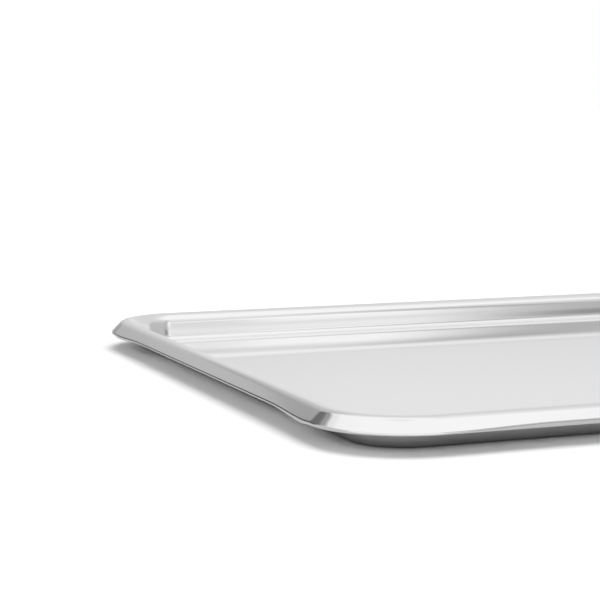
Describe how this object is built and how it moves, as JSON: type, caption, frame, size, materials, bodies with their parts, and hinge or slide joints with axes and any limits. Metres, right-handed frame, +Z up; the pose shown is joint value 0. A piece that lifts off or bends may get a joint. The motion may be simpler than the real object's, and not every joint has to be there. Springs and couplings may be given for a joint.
{
  "type": "pastry tray",
  "caption": "Shallow rectangular sheet-metal tray: flat floor, low wall, round crest and an outward-sloping rim with a turned-down lip and rounded corners.",
  "frame": {"origin": "centre of the flat underside, on the surface that the tray rests on", "axes": "+X along the long sides, +Y along the short sides towards the far side in the picture's left-hand view, +Z up out of the well"},
  "size_m": [0.6, 0.4, 0.0164],
  "materials": {
    "stainless_steel": "bright stainless steel with a fine satin grain, nearly mirror-like at a low angle"
  },
  "bodies": {
    "root": {"tray_sheet": "stainless_steel"}
  },
  "joints": []
}
